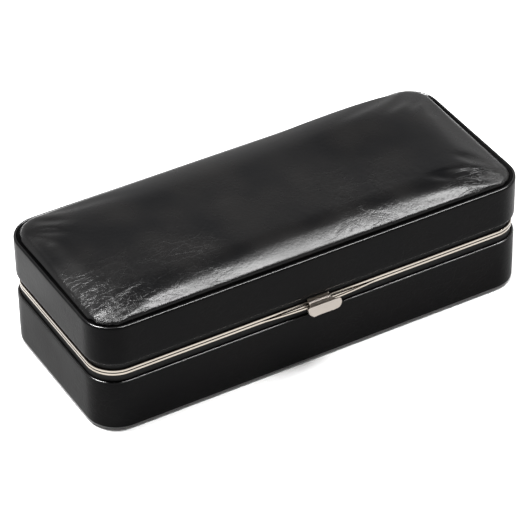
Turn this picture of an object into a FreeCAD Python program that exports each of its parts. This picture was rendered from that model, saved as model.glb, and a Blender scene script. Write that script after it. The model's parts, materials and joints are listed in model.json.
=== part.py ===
import FreeCAD, Part
import math
import os
import Sketcher

# Watch box: a leather-covered clamshell case with metal edge frames, a rear hinge pair, a sprung
# front clasp and five removable watch pillows. X runs along the case, -Y is the clasp side, +Z is up.
# The origin is under the middle of the case outline, on the plane that the case rests on.

DIMENSIONS = [
    ("box_length", 310.0, "outside length over the leather"),
    ("box_width", 130.0, "outside width over the leather"),
    ("corner_radius", 21.0, "plan radius of the outside corners"),
    # Insets, measured inwards from the outside of the leather.
    ("skin_depth", 1.5, "thickness of the leather on the walls"),
    ("felt_inset", 3.0, "edge of the felt under the base"),
    ("core_depth", 9.5, "inner face of the wooden walls"),
    ("base_collar_inset", 2.4, "outer face of the base collar"),
    ("lid_collar_inset", 3.4, "outer face of the lid collar"),
    ("collar_depth", 8.6, "inner face of both collars"),
    ("frame_inset", 1.8, "outer face of both metal frames"),
    ("strip_depth", 3.4, "inner face of the upright strip of the upper frame"),
    ("frame_depth", 9.2, "inner edge of both metal frames"),
    ("lining_depth", 11.0, "inner face of both linings"),
    ("pad_inset", 11.4, "edge of the padded panel inside the lid"),
    ("bead_depth", 2.3, "inner edge of the raised rim of the lid"),
    ("groove_depth", 3.3, "inner edge of the groove round the lid cushion"),
    ("cushion_inset", 3.5, "edge of the lid cushion"),
    ("foam_inset", 6.0, "edge of the foam in the lid cushion"),
    # Levels above the plane that the case rests on.
    ("felt_top", 1.0, "top of the felt"),
    ("skin_low", 0.8, "lower edge of the base leather"),
    ("board_top", 4.0, "top of the bottom board"),
    ("floor_top", 5.5, "top of the floor pad"),
    ("core_top", 36.9, "top of the base walls"),
    ("rim_top", 37.9, "top of the base leather"),
    ("divider_top", 40.5, "top of the dividers"),
    ("collar_top", 42.7, "top of the base collar"),
    ("flare_low", 43.0, "underside of the flared lip of the lower frame"),
    ("lining_top", 43.8, "top of the base lining"),
    ("rail_top", 44.0, "top of the lower frame"),
    ("parting", 44.5, "underside of the upper frame"),
    ("flange_top", 45.6, "top of the flange of the upper frame"),
    ("strip_top", 46.4, "top of the upright strip of the upper frame"),
    ("lid_skin_low", 50.6, "lower edge of the lid leather"),
    ("lid_core_low", 51.8, "underside of the lid walls"),
    ("pad_low", 70.4, "underside of the padded panel inside the lid"),
    ("lid_board_low", 74.4, "underside of the lid board"),
    ("lid_core_top", 77.6, "top of the lid walls and the lid board"),
    ("groove_top", 78.4, "floor of the groove round the cushion"),
    ("lid_rim_top", 80.2, "top of the raised rim of the lid"),
    ("foam_top", 86.0, "top of the foam"),
    ("crown_top", 89.5, "top of the lid cushion"),
    # Edge roundings.
    ("foot_round", 1.3, "rounding of the lower edge of the base leather"),
    ("rim_round", 1.1, "rounding of the leather rims"),
    ("lid_edge_round", 2.1, "rounding of the lower edge of the lid leather"),
    ("crown_round", 9.0, "rounding of the top edge of the cushion"),
    ("foam_round", 7.0, "rounding of the top edge of the foam"),
    ("metal_round", 0.5, "rounding of the outer edges of the metal frames"),
    # Flared lip of the lower frame, in front of the clasp.
    ("flare_length", 100.0, "chord of the flared lip"),
    ("flare_rise", 3.4, "height of the lip's arc over its chord"),
    ("flare_chord", 62.2, "distance of the chord in front of the centre line"),
    ("pocket_rise", 2.2, "height over the chord of the arc of the open pocket behind the lip"),
    ("pocket_start", 8.2, "inner end of each pocket from the middle of the case"),
    # Compartments.
    ("divider_thickness", 4.0, "thickness of a divider"),
    ("divider_gap", 0.1, "gap at each end of a divider"),
    ("divider_round", 1.6, "rounding of the top edges of a divider"),
    ("pillow_width", 50.0, "watch pillow along the case"),
    ("pillow_depth", 84.0, "watch pillow across the case"),
    ("pillow_height", 40.0, "height of a watch pillow"),
    ("pillow_lift", 0.3, "gap under a watch pillow"),
    ("pillow_curve", 17.0, "rounding of the section of a watch pillow"),
    ("pillow_round", 6.0, "rounding of the ends of a watch pillow"),
    # Hinges.
    ("hinge_offset", 85.0, "middle of each hinge from the middle of the case"),
    ("hinge_back", 64.9, "hinge axis behind the centre line"),
    ("hinge_level", 44.3, "hinge axis above the rest plane"),
    ("knuckle_length", 7.2, "length of one knuckle"),
    ("knuckle_gap", 0.2, "gap between neighbouring knuckles"),
    ("knuckle_radius", 1.6, "outside radius of a knuckle"),
    ("hinge_bore", 0.85, "bore of a knuckle"),
    ("hinge_pin_radius", 0.8, "radius of a hinge pin"),
    ("leaf_thickness", 0.8, "upper hinge leaf, beyond the back of the frame"),
    ("leaf_low", 39.0, "lower edge of the lower hinge leaf"),
    ("leaf_shoulder", 42.3, "upper edge of the plate of the lower hinge leaf"),
    ("leaf_foot", 47.0, "lower edge of the plate of the upper hinge leaf"),
    ("leaf_top", 50.0, "upper edge of the upper hinge leaf"),
    # Fasteners.
    ("nail_inset", 6.0, "row of frame nails"),
    ("nail_radius", 0.7, "shank radius of a frame nail"),
    ("nail_head", 1.6, "head radius of a frame nail"),
    ("nail_head_depth", 0.5, "head thickness of a frame nail"),
    ("nail_length", 5.0, "shank length of a frame nail"),
    ("rivet_radius", 0.7, "shank radius of a rivet"),
    ("rivet_head", 1.3, "head radius of a rivet"),
    ("rivet_head_depth", 0.5, "head thickness of a rivet"),
    ("rivet_spread", 12.0, "rivets of a hinge leaf from the middle of the hinge"),
    ("hole_play", 0.03, "radial play round a nail or a rivet"),
    # Clasp.
    ("pivot_front", 68.0, "clasp pivot in front of the centre line"),
    ("pivot_level", 41.3, "clasp pivot above the rest plane"),
    ("pivot_radius", 1.0, "radius of the clasp pin"),
    ("pivot_bore", 1.05, "bore for the clasp pin"),
    ("pivot_pin_half", 8.6, "half length of the clasp pin"),
    ("bracket_half", 5.5, "half width of the clasp bracket"),
    ("bracket_front", 69.7, "front face of the clasp bracket"),
    ("bracket_low", 38.7, "underside of the clasp bracket"),
    ("spring_slot_half", 2.4, "half width of the slot for the spring"),
    ("spring_slot_back", 66.1, "rear of the slot for the spring"),
    ("cheek_inner", 5.8, "inner face of a lever cheek"),
    ("cheek_outer", 7.9, "outer face of a lever cheek"),
    ("cheek_back", 66.5, "rear edge of a lever cheek"),
    ("cheek_low", 39.2, "underside of a lever cheek"),
    ("lever_low", 44.7, "underside of the lever plate"),
    ("lever_top", 45.7, "top of the lever plate"),
    ("lever_nose", 65.7, "nose of the lever"),
    ("tab_back", 71.0, "lower rear edge of the lever tab"),
    ("tab_thickness", 1.5, "thickness of the lever tab"),
    ("tab_height", 6.2, "height of the lever tab along its face"),
    ("tab_tilt", 20.0, "lean of the lever tab towards the case, in degrees"),
    ("lever_front", 70.4, "front of the lever plate and the cheeks, inside the tab"),
    ("tab_half", 12.0, "half width of the lever tab"),
    ("tab_low", 40.7, "level of the lower rear edge of the lever tab"),
    ("tab_curve", 4.3, "radius of the lower corners of the tab"),
    ("tab_bevel", 1.6, "chamfer of the upper corners of the tab"),
    ("inner_rib_top", 46.8, "top of the inner rib on the lever"),
    ("outer_rib_top", 46.8, "top of the outer rib on the lever"),
    ("inner_rib_half", 7.9, "half length of the inner rib"),
    ("outer_rib_half", 8.9, "half length of the outer rib"),
    ("rib_width", 0.8, "width of a rib"),
    ("inner_rib_back", 65.9, "rear edge of the inner rib"),
    ("outer_rib_back", 67.5, "rear edge of the outer rib"),
    ("keeper_half", 7.7, "half width of the keeper"),
    ("keeper_front", 65.3, "front face of the keeper"),
    ("keeper_low", 44.6, "underside of the keeper"),
    ("keeper_step", 45.2, "foot of the slope of the keeper"),
    ("keeper_crest", 63.7, "rear edge of the slope of the keeper"),
    ("keeper_lip", 62.3, "front of the upper lip of the keeper"),
    ("keeper_top", 47.5, "top of the upper lip of the keeper"),
    ("keeper_rivet_radius", 0.45, "radius of a keeper rivet"),
    ("keeper_rivet_offset", 5.0, "keeper rivets from the middle of the case"),
    ("clasp_rivet_offset", 3.6, "bracket rivets from the middle of the case"),
    ("clasp_rivet_front", 64.4, "bracket rivets in front of the centre line"),
    ("spring_radius", 1.55, "radius of the wire's centre line in the spring"),
    ("spring_wire", 0.22, "radius of the spring wire"),
    ("spring_half", 1.8, "half length of the coil"),
    ("spring_leg_top", 42.9, "top of the upright leg of the spring"),
]

PILLOW_COUNT = 5
NAIL_COLUMNS = ("-120", "-40", "40", "120")

doc = FreeCAD.newDocument("watch_box")
sheet = doc.addObject("Spreadsheet::Sheet", "Dims")
for row, (alias, amount, note) in enumerate(DIMENSIONS, start=1):
    sheet.set(f"A{row}", alias)
    sheet.set(f"B{row}", str(amount))
    sheet.setAlias(f"B{row}", alias)
    sheet.set(f"C{row}", note)
doc.recompute()

nodes = []


def dim(alias):
    """The expression that reads one cell."""
    return f"Dims.{alias}"


def number(expression):
    """The present value of an expression on the sheet."""
    return float(sheet.evalExpression(expression))


def keep(thing, node):
    """Name a finished sub-part and list it for export."""
    thing.Label = node
    nodes.append(thing)
    return thing


# ---- sketches and pads -------------------------------------------------------------------------


def new_body(name):
    return doc.addObject("PartDesign::Body", f"{name}_body")


def new_sketch(body, role, offset):
    """A sketch on one of the body's origin planes, moved along its normal."""
    plane = [item for item in body.Origin.OriginFeatures if item.Role == role][0]
    sketch = body.newObject("Sketcher::SketchObject", f"{body.Name}_sketch")
    sketch.AttachmentSupport = [(plane, "")]
    sketch.MapMode = "FlatFace"
    sketch.setExpression(".AttachmentOffset.Base.z", offset)
    return sketch


def bind(sketch, index, name, expression):
    """Tie one dimension of a sketch to the sheet."""
    sketch.renameConstraint(index, name)
    sketch.setExpression(f"Constraints.{name}", expression)


def add_rounded_rectangle(sketch, name, width, depth, radius):
    """A rectangle centred on the sketch origin, with equal round corners."""
    half_w = number(width) / 2
    half_d = number(depth) / 2
    rad = number(radius)
    first = sketch.GeometryCount
    corners = [(1, -1, 270), (1, 1, 0), (-1, 1, 90), (-1, -1, 180)]
    sides = [
        ((-half_w + rad, -half_d), (half_w - rad, -half_d)),
        ((half_w, -half_d + rad), (half_w, half_d - rad)),
        ((half_w - rad, half_d), (-half_w + rad, half_d)),
        ((-half_w, half_d - rad), (-half_w, -half_d + rad)),
    ]
    up = FreeCAD.Vector(0, 0, 1)
    for (start, end), (side_x, side_y, angle) in zip(sides, corners):
        line = Part.LineSegment(FreeCAD.Vector(*start, 0), FreeCAD.Vector(*end, 0))
        centre = FreeCAD.Vector(side_x * (half_w - rad), side_y * (half_d - rad), 0)
        begin = math.radians(angle)
        corner = Part.ArcOfCircle(Part.Circle(centre, up, rad), begin, begin + math.pi / 2)
        sketch.addGeometry(line, False)
        sketch.addGeometry(corner, False)
    for step in range(8):
        after = first + (step + 1) % 8
        sketch.addConstraint(Sketcher.Constraint("Tangent", first + step, 2, after, 1))
    for line, kind in ((0, "Horizontal"), (2, "Vertical"), (4, "Horizontal"), (6, "Vertical")):
        sketch.addConstraint(Sketcher.Constraint(kind, first + line))
    for corner in (3, 5, 7):
        sketch.addConstraint(Sketcher.Constraint("Equal", first + 1, first + corner))
    sketch.addConstraint(Sketcher.Constraint("Symmetric", first + 1, 3, first + 5, 3, -1, 1))
    index = sketch.addConstraint(Sketcher.Constraint("Radius", first + 1, rad))
    bind(sketch, index, f"{name}_radius", radius)
    index = sketch.addConstraint(
        Sketcher.Constraint("DistanceX", first + 6, 1, first + 2, 1, 2 * half_w))
    bind(sketch, index, f"{name}_width", width)
    index = sketch.addConstraint(
        Sketcher.Constraint("DistanceY", first, 1, first + 4, 1, 2 * half_d))
    bind(sketch, index, f"{name}_depth", depth)


def add_outline(sketch, name, inset):
    """The case outline, moved inwards by an inset."""
    add_rounded_rectangle(
        sketch, name,
        f"{dim('box_length')} - 2 * ({inset})",
        f"{dim('box_width')} - 2 * ({inset})",
        f"{dim('corner_radius')} - ({inset})")


def pad_sketch(body, sketch, length):
    pad = body.newObject("PartDesign::Pad", f"{body.Name}_pad")
    pad.Profile = sketch
    pad.setExpression("Length", length)
    sketch.Visibility = False
    return pad


def add_band(body, outer, inner, low, high):
    """A ring, or a plate where there is no inner inset, between two levels."""
    sketch = new_sketch(body, "XY_Plane", low)
    add_outline(sketch, "outer", outer)
    if inner:
        add_outline(sketch, "inner", inner)
    return pad_sketch(body, sketch, f"{high} - {low}")


def inset_at(point):
    """How far inside the case outline a point lies."""
    rad = number(dim("corner_radius"))
    over_x = abs(point.x) - (number(dim("box_length")) / 2 - rad)
    over_y = abs(point.y) - (number(dim("box_width")) / 2 - rad)
    outside = math.hypot(max(over_x, 0.0), max(over_y, 0.0))
    return rad - outside - min(max(over_x, over_y), 0.0)


def round_outline(body, inset, level, radius):
    """Fillet the closed edge loop at one inset and one level."""
    doc.recompute()
    base = body.Tip
    names = []
    for index, edge in enumerate(base.Shape.Edges, start=1):
        middle = edge.valueAt((edge.FirstParameter + edge.LastParameter) / 2)
        points = [middle] + [vertex.Point for vertex in edge.Vertexes]
        on_level = all(abs(point.z - number(level)) < 0.01 for point in points)
        if on_level and all(abs(inset_at(point) - number(inset)) < 0.01 for point in points):
            names.append(f"Edge{index}")
    fillet = body.newObject("PartDesign::Fillet", f"{body.Name}_fillet")
    fillet.Base = (base, names)
    fillet.setExpression("Radius", radius)
    base.Visibility = False
    return fillet


# ---- primitives --------------------------------------------------------------------------------


def box(name, x_span, y_span, z_span):
    """A box between pairs of expressions."""
    thing = doc.addObject("Part::Box", name)
    for side, axis, (low, high) in (("Length", "x", x_span), ("Width", "y", y_span), ("Height", "z", z_span)):
        thing.setExpression(side, f"({high}) - ({low})")
        thing.setExpression(f"Placement.Base.{axis}", low)
    return thing


def both_ways(half):
    return f"-{half}", half


def rod(name, direction, radius, length, place):
    """A cylinder from a starting point along a direction."""
    thing = doc.addObject("Part::Cylinder", name)
    turn = FreeCAD.Rotation(FreeCAD.Vector(0, 0, 1), FreeCAD.Vector(*direction))
    thing.Placement = FreeCAD.Placement(FreeCAD.Vector(0, 0, 0), turn)
    thing.setExpression("Radius", radius)
    thing.setExpression("Height", length)
    for axis, expression in zip("xyz", place):
        thing.setExpression(f"Placement.Base.{axis}", expression)
    return thing


def fuse(name, things):
    thing = doc.addObject("Part::MultiFuse", name)
    thing.Shapes = things
    return thing


def group(name, things):
    """Identical separate solids that share one node."""
    thing = doc.addObject("Part::Compound", name)
    thing.Links = things
    return thing


def cut(name, base, tools):
    thing = doc.addObject("Part::Cut", name)
    thing.Base = base
    thing.Tool = group(f"{name}_tools", tools)
    return thing


def round_edges(name, base, radius, chosen):
    """Fillet the edges of a primitive that a test picks out."""
    doc.recompute()
    amount = number(radius)
    thing = doc.addObject("Part::Fillet", name)
    thing.Base = base
    thing.Edges = [
        (index, amount, amount)
        for index, edge in enumerate(base.Shape.Edges, start=1) if chosen(edge)]
    return thing


def headed(name, direction, place, head_radius, head_depth, shank_radius, shank_length):
    """A nail or a rivet: the shank runs on from the head along a direction."""
    head = rod(f"{name}_head", direction, head_radius, head_depth, place)
    along = [
        f"{start} + ({step}) * ({head_depth} - 0.1)" for start, step in zip(place, direction)]
    shank = rod(f"{name}_shank", direction, shank_radius, f"{shank_length} + 0.1", along)
    return fuse(name, [head, shank])


# ---- fastener positions ------------------------------------------------------------------------


def nail_places():
    """Two rows along the case and one nail in the middle of each end."""
    row = f"({dim('box_width')} / 2 - {dim('nail_inset')})"
    end = f"({dim('box_length')} / 2 - {dim('nail_inset')})"
    places = [(column, f"{side} * {row}") for side in ("-1", "1") for column in NAIL_COLUMNS]
    return places + [(f"{side} * {end}", "0") for side in ("-1", "1")]


def frame_nails(name, level, up, play):
    """All nails of one frame; with play they are the tools that cut the holes."""
    return [
        headed(
            f"{name}_{index}", (0, 0, up), (x, y, level),
            f"{dim('nail_head')} + {play}", dim("nail_head_depth"),
            f"{dim('nail_radius')} + {play}", dim("nail_length"))
        for index, (x, y) in enumerate(nail_places())]


def leaf_rivets(name, level, reach, front, play):
    """The rivets of both hinge leaves of one half, headed on the outside."""
    places = [
        f"{side} * {dim('hinge_offset')} + {way} * {dim('rivet_spread')}"
        for side in ("-1", "1") for way in ("-1", "1")]
    return [
        headed(
            f"{name}_{index}", (0, -1, 0), (x, f"{front} + {dim('rivet_head_depth')}", level),
            f"{dim('rivet_head')} + {play}", dim("rivet_head_depth"),
            f"{dim('rivet_radius')} + {play}", reach)
        for index, x in enumerate(places)]


def keeper_rivets(name, play):
    """Blind rivets from behind that hold the keeper to the strip of the upper frame."""
    front = f"({dim('keeper_front')} - 0.7)"
    length = f"{front} - ({dim('box_width')} / 2 - {dim('strip_depth')})"
    return [
        rod(f"{name}_{index}", (0, 1, 0), f"{dim('keeper_rivet_radius')} + {play}", length,
            (f"{side} * {dim('keeper_rivet_offset')}", f"-{front}", f"{dim('keeper_low')} + 0.6"))
        for index, side in enumerate(("-1", "1"))]


def bracket_rivets(name, play):
    """Flush rivets that hold the clasp bracket under the flared lip."""
    low = f"{dim('bracket_low')} + {dim('rivet_head_depth')}"
    return [
        rod(f"{name}_{index}", (0, 0, 1), f"{dim('rivet_radius')} + {play}",
            f"{dim('rail_top')} - ({low})",
            (f"{side} * {dim('clasp_rivet_offset')}", f"-{dim('clasp_rivet_front')}", low))
        for index, side in enumerate(("-1", "1"))]


NO_PLAY = "0"
PLAY = dim("hole_play")
FRAME_BACK = f"({dim('box_width')} / 2 - {dim('frame_inset')})"
COLLAR_BACK = f"({dim('box_width')} / 2 - {dim('base_collar_inset')})"
LID_COLLAR_BACK = f"({dim('box_width')} / 2 - {dim('lid_collar_inset')})"
LOWER_LEAF_BACK = f"({COLLAR_BACK} + 1.4)"
UPPER_LEAF_BACK = f"({FRAME_BACK} + {dim('leaf_thickness')})"
LOWER_RIVET_LEVEL = f"({dim('leaf_low')} + {dim('leaf_shoulder')}) / 2"
UPPER_RIVET_LEVEL = f"({dim('leaf_foot')} + {dim('leaf_top')}) / 2"
LOWER_RIVET_REACH = f"{LOWER_LEAF_BACK} - {COLLAR_BACK} + 2.5"
UPPER_RIVET_REACH = f"{UPPER_LEAF_BACK} - {LID_COLLAR_BACK} + 2.5"


# ---- base --------------------------------------------------------------------------------------


def make_base_felt():
    body = new_body("base_felt")
    add_band(body, dim("felt_inset"), None, "0", dim("felt_top"))
    keep(body, "base_felt")


def make_base_board():
    body = new_body("base_board")
    add_band(body, dim("core_depth"), None, dim("felt_top"), dim("board_top"))
    keep(body, "base_board")


def make_base_walls():
    body = new_body("base_walls")
    add_band(body, dim("skin_depth"), dim("core_depth"), dim("felt_top"), dim("core_top"))
    keep(body, "base_walls")


def make_base_leather():
    """The skin of the base walls, turned in over their top as far as the collar."""
    body = new_body("base_leather")
    add_band(body, "0", dim("skin_depth"), dim("skin_low"), dim("core_top"))
    add_band(body, "0", dim("base_collar_inset"), dim("core_top"), dim("rim_top"))
    round_outline(body, "0", dim("rim_top"), dim("rim_round"))
    round_outline(body, "0", dim("skin_low"), dim("foot_round"))
    keep(body, "base_leather")


def make_base_collar():
    """The black collar between the base walls and the lower frame."""
    body = new_body("base_collar")
    add_band(body, dim("base_collar_inset"), dim("collar_depth"), dim("core_top"), dim("collar_top"))
    tools = frame_nails("collar_nail_hole", dim("rail_top"), -1, PLAY)
    tools += leaf_rivets("collar_rivet_hole", LOWER_RIVET_LEVEL, LOWER_RIVET_REACH, LOWER_LEAF_BACK, PLAY)
    keep(cut("base_collar_cut", body, tools), "base_collar")


def add_flare(body, rise):
    """The shallow arched lip in front of the clasp: a chord and an arc of a given height."""
    sketch = new_sketch(body, "XY_Plane", dim("flare_low"))
    half = number(dim("flare_length")) / 2
    height = number(rise)
    chord = -number(dim("flare_chord"))
    left = FreeCAD.Vector(-half, chord, 0)
    right = FreeCAD.Vector(half, chord, 0)
    sketch.addGeometry(Part.LineSegment(left, right), False)
    sketch.addGeometry(Part.Arc(left, FreeCAD.Vector(0, chord - height, 0), right), False)
    ends = [sketch.getPoint(1, which) for which in (1, 2)]
    first_end = 1 if ends[0].distanceToPoint(left) < ends[1].distanceToPoint(left) else 2
    sketch.addConstraint(Sketcher.Constraint("Coincident", 0, 1, 1, first_end))
    sketch.addConstraint(Sketcher.Constraint("Coincident", 0, 2, 1, 3 - first_end))
    sketch.addConstraint(Sketcher.Constraint("Symmetric", 0, 1, 0, 2, -2))
    index = sketch.addConstraint(Sketcher.Constraint("DistanceX", 0, 1, 0, 2, 2 * half))
    bind(sketch, index, "flare_length", dim("flare_length"))
    index = sketch.addConstraint(Sketcher.Constraint("DistanceY", 0, 1, -1, 1, -chord))
    bind(sketch, index, "flare_chord", dim("flare_chord"))
    radius = f"(Dims.flare_length ^ 2 / 4 + {rise} ^ 2) / (2 * {rise})"
    index = sketch.addConstraint(Sketcher.Constraint("Radius", 1, number(radius)))
    bind(sketch, index, "flare_radius", radius)
    return pad_sketch(body, sketch, f"{dim('rail_top')} - {dim('flare_low')}")


def flare_pockets():
    """The open gaps between the lip and the rail, one on each side of the clasp."""
    lens = new_body("flare_pocket")
    add_flare(lens, dim("pocket_rise"))
    reach = dim("flare_length")
    levels = ("Dims.flare_low - 1", "Dims.rail_top + 1")
    rail = box("pocket_rail_side", both_ways(reach), (f"-{FRAME_BACK}", "0"), levels)
    boss = box("pocket_boss", both_ways(dim("pocket_start")), ("-Dims.box_width", "0"), levels)
    return cut("flare_pockets", lens, [rail, boss])


def make_lower_frame():
    """The flat metal rail that crowns the base, with its flared lip."""
    body = new_body("lower_frame")
    add_band(body, dim("frame_inset"), dim("frame_depth"), dim("collar_top"), dim("rail_top"))
    add_flare(body, dim("flare_rise"))
    tools = frame_nails("rail_nail_hole", dim("rail_top"), -1, PLAY)
    tools += bracket_rivets("rail_rivet_hole", PLAY)
    tools.append(flare_pockets())
    keep(cut("lower_frame_cut", body, tools), "lower_frame")


def make_lower_frame_nails():
    nails = frame_nails("lower_nail", dim("rail_top"), -1, NO_PLAY)
    keep(group("lower_frame_nails_group", nails), "lower_frame_nails")


def make_base_lining():
    body = new_body("base_lining")
    add_band(body, f"{dim('core_depth')} + 0.05", dim("lining_depth"), dim("board_top"), dim("lining_top"))
    keep(body, "base_lining")


def make_floor_pad():
    body = new_body("floor_pad")
    add_band(body, f"{dim('lining_depth')} + 0.05", None, dim("board_top"), dim("floor_top"))
    keep(body, "floor_pad")


def compartment_pitch():
    """The distance from one compartment to the next, centre to centre."""
    inside = f"{dim('box_length')} - 2 * {dim('lining_depth')}"
    return f"(({inside} + {dim('divider_thickness')}) / {PILLOW_COUNT})"


def make_dividers():
    """The upright walls between the compartments, rounded along the top."""
    top = number(dim("divider_top"))
    half_depth = f"({dim('box_width')} / 2 - {dim('lining_depth')} - {dim('divider_gap')})"
    for index in range(1, PILLOW_COUNT):
        middle = f"{index - PILLOW_COUNT / 2} * {compartment_pitch()}"
        wall = box(
            f"divider_{index}_wall",
            (f"{middle} - {dim('divider_thickness')} / 2", f"{middle} + {dim('divider_thickness')} / 2"),
            (f"-{half_depth}", half_depth),
            (dim("floor_top"), dim("divider_top")))
        rounded = round_edges(
            f"divider_{index}_rounded", wall, dim("divider_round"),
            lambda edge: edge.Length > 50 and all(abs(v.Z - top) < 0.01 for v in edge.Vertexes))
        keep(rounded, f"divider_{index}")


def make_watch_pillows():
    """Soft oval pillows, one for each compartment, free on all sides."""
    lift = f"{dim('floor_top')} + {dim('pillow_lift')} + {dim('pillow_height')} / 2"
    for index in range(PILLOW_COUNT):
        body = new_body(f"watch_pillow_{index + 1}")
        middle = f"{index - (PILLOW_COUNT - 1) / 2} * {compartment_pitch()}"
        sketch = new_sketch(body, "YZ_Plane", f"{middle} - {dim('pillow_width')} / 2")
        sketch.setExpression(".AttachmentOffset.Base.y", lift)
        add_rounded_rectangle(
            sketch, "section", dim("pillow_depth"), dim("pillow_height"), dim("pillow_curve"))
        pad = pad_sketch(body, sketch, dim("pillow_width"))
        doc.recompute()
        start = pad.Shape.BoundBox.XMin
        end = pad.Shape.BoundBox.XMax
        names = [
            f"Edge{number_in_list}"
            for number_in_list, edge in enumerate(pad.Shape.Edges, start=1)
            if edge.BoundBox.XLength < 0.01 and min(abs(edge.BoundBox.XMin - x) for x in (start, end)) < 0.01]
        fillet = body.newObject("PartDesign::Fillet", f"watch_pillow_{index + 1}_fillet")
        fillet.Base = (pad, names)
        fillet.setExpression("Radius", dim("pillow_round"))
        keep(body, f"watch_pillow_{index + 1}")


# ---- lid ---------------------------------------------------------------------------------------


def make_lid_walls():
    body = new_body("lid_walls")
    add_band(body, dim("skin_depth"), dim("core_depth"), dim("lid_core_low"), dim("lid_core_top"))
    keep(body, "lid_walls")


def make_lid_board():
    body = new_body("lid_board")
    add_band(body, dim("core_depth"), None, dim("lid_board_low"), dim("lid_core_top"))
    keep(body, "lid_board")


def make_lid_leather():
    """The skin of the lid walls: turned in below, and a raised rim and a groove above."""
    body = new_body("lid_leather")
    add_band(body, "0", dim("lid_collar_inset"), dim("lid_skin_low"), dim("lid_core_low"))
    add_band(body, "0", dim("skin_depth"), dim("lid_core_low"), dim("lid_core_top"))
    add_band(body, "0", dim("groove_depth"), dim("lid_core_top"), dim("groove_top"))
    add_band(body, "0", dim("bead_depth"), dim("groove_top"), dim("lid_rim_top"))
    round_outline(body, "0", dim("lid_rim_top"), dim("rim_round"))
    round_outline(body, dim("bead_depth"), dim("lid_rim_top"), dim("rim_round"))
    round_outline(body, "0", dim("lid_skin_low"), dim("lid_edge_round"))
    keep(body, "lid_leather")


def add_crown(body, inset, top, radius):
    """A plate on the lid walls and board, with a strongly rounded top edge."""
    add_band(body, inset, None, dim("lid_core_top"), top)
    round_outline(body, inset, top, radius)


def make_lid_foam():
    body = new_body("lid_foam")
    add_crown(body, dim("foam_inset"), dim("foam_top"), dim("foam_round"))
    keep(body, "lid_foam")


def make_lid_cushion():
    """The leather panel drawn over the foam."""
    outside = new_body("lid_cushion_outside")
    add_crown(outside, dim("cushion_inset"), dim("crown_top"), dim("crown_round"))
    inside = new_body("lid_cushion_inside")
    add_crown(inside, dim("foam_inset"), dim("foam_top"), dim("foam_round"))
    keep(cut("lid_cushion_cut", outside, [inside]), "lid_cushion")


def make_lid_collar():
    """The black collar between the lid walls and the upper frame."""
    body = new_body("lid_collar")
    inset = dim("lid_collar_inset")
    add_band(body, inset, dim("collar_depth"), dim("flange_top"), dim("lid_core_low"))
    tools = frame_nails("lid_nail_hole", dim("parting"), 1, PLAY)
    tools += leaf_rivets("lid_rivet_hole", UPPER_RIVET_LEVEL, UPPER_RIVET_REACH, UPPER_LEAF_BACK, PLAY)
    keep(cut("lid_collar_cut", body, tools), "lid_collar")


def make_upper_frame():
    """The metal frame of the lid: a flat flange and an upright outer strip."""
    body = new_body("upper_frame")
    add_band(body, dim("frame_inset"), dim("frame_depth"), dim("parting"), dim("flange_top"))
    add_band(body, dim("frame_inset"), dim("strip_depth"), dim("flange_top"), dim("strip_top"))
    round_outline(body, dim("frame_inset"), dim("strip_top"), dim("metal_round"))
    round_outline(body, dim("frame_inset"), dim("parting"), dim("metal_round"))
    tools = frame_nails("flange_nail_hole", dim("parting"), 1, PLAY)
    tools += keeper_rivets("strip_keeper_hole", PLAY)
    keep(cut("upper_frame_cut", body, tools), "upper_frame")


def make_upper_frame_nails():
    nails = frame_nails("upper_nail", dim("parting"), 1, NO_PLAY)
    keep(group("upper_frame_nails_group", nails), "upper_frame_nails")


def make_lid_lining():
    body = new_body("lid_lining")
    inset = f"{dim('core_depth')} + 0.05"
    add_band(body, inset, dim("lining_depth"), dim("parting"), dim("lid_board_low"))
    keep(body, "lid_lining")


def make_lid_inner_pad():
    body = new_body("lid_inner_pad")
    add_band(body, dim("pad_inset"), None, dim("pad_low"), dim("lid_board_low"))
    round_outline(body, dim("pad_inset"), dim("pad_low"), "1.8")
    keep(body, "lid_inner_pad")


# ---- hinges ------------------------------------------------------------------------------------


def knuckle_span(side, slot):
    """The X range of one of five knuckle slots; slots 0, 2, 4 are the base's."""
    middle = f"({side} * {dim('hinge_offset')} + {slot - 2} * {dim('knuckle_length')})"
    half = f"({dim('knuckle_length')} - {dim('knuckle_gap')}) / 2"
    return f"{middle} - {half}", f"{middle} + {half}"


def hinge_rod(name, radius, span):
    low, high = span
    axis = (f"{low}", dim("hinge_back"), dim("hinge_level"))
    return rod(name, (1, 0, 0), radius, f"({high}) - ({low})", axis)


def full_span(side):
    first, last = knuckle_span(side, 0)[0], knuckle_span(side, 4)[1]
    return first, last


def make_leaf(node, side, slots, plate_y, plate_z, web_z, rivets):
    """A hinge leaf: riveted plate, webs and knuckles, bored for the pin."""
    things = [box(f"{node}_plate", full_span(side), plate_y, plate_z)]
    for slot in slots:
        span = knuckle_span(side, slot)
        things.append(box(f"{node}_web_{slot}", span, (f"{FRAME_BACK} + 0.1", dim("hinge_back")), web_z))
        things.append(hinge_rod(f"{node}_knuckle_{slot}", dim("knuckle_radius"), span))
    solid = fuse(f"{node}_solid", things)
    bore = hinge_rod(f"{node}_bore", dim("hinge_bore"), full_span(side))
    keep(cut(f"{node}_cut", solid, [bore] + rivets), node)


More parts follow.
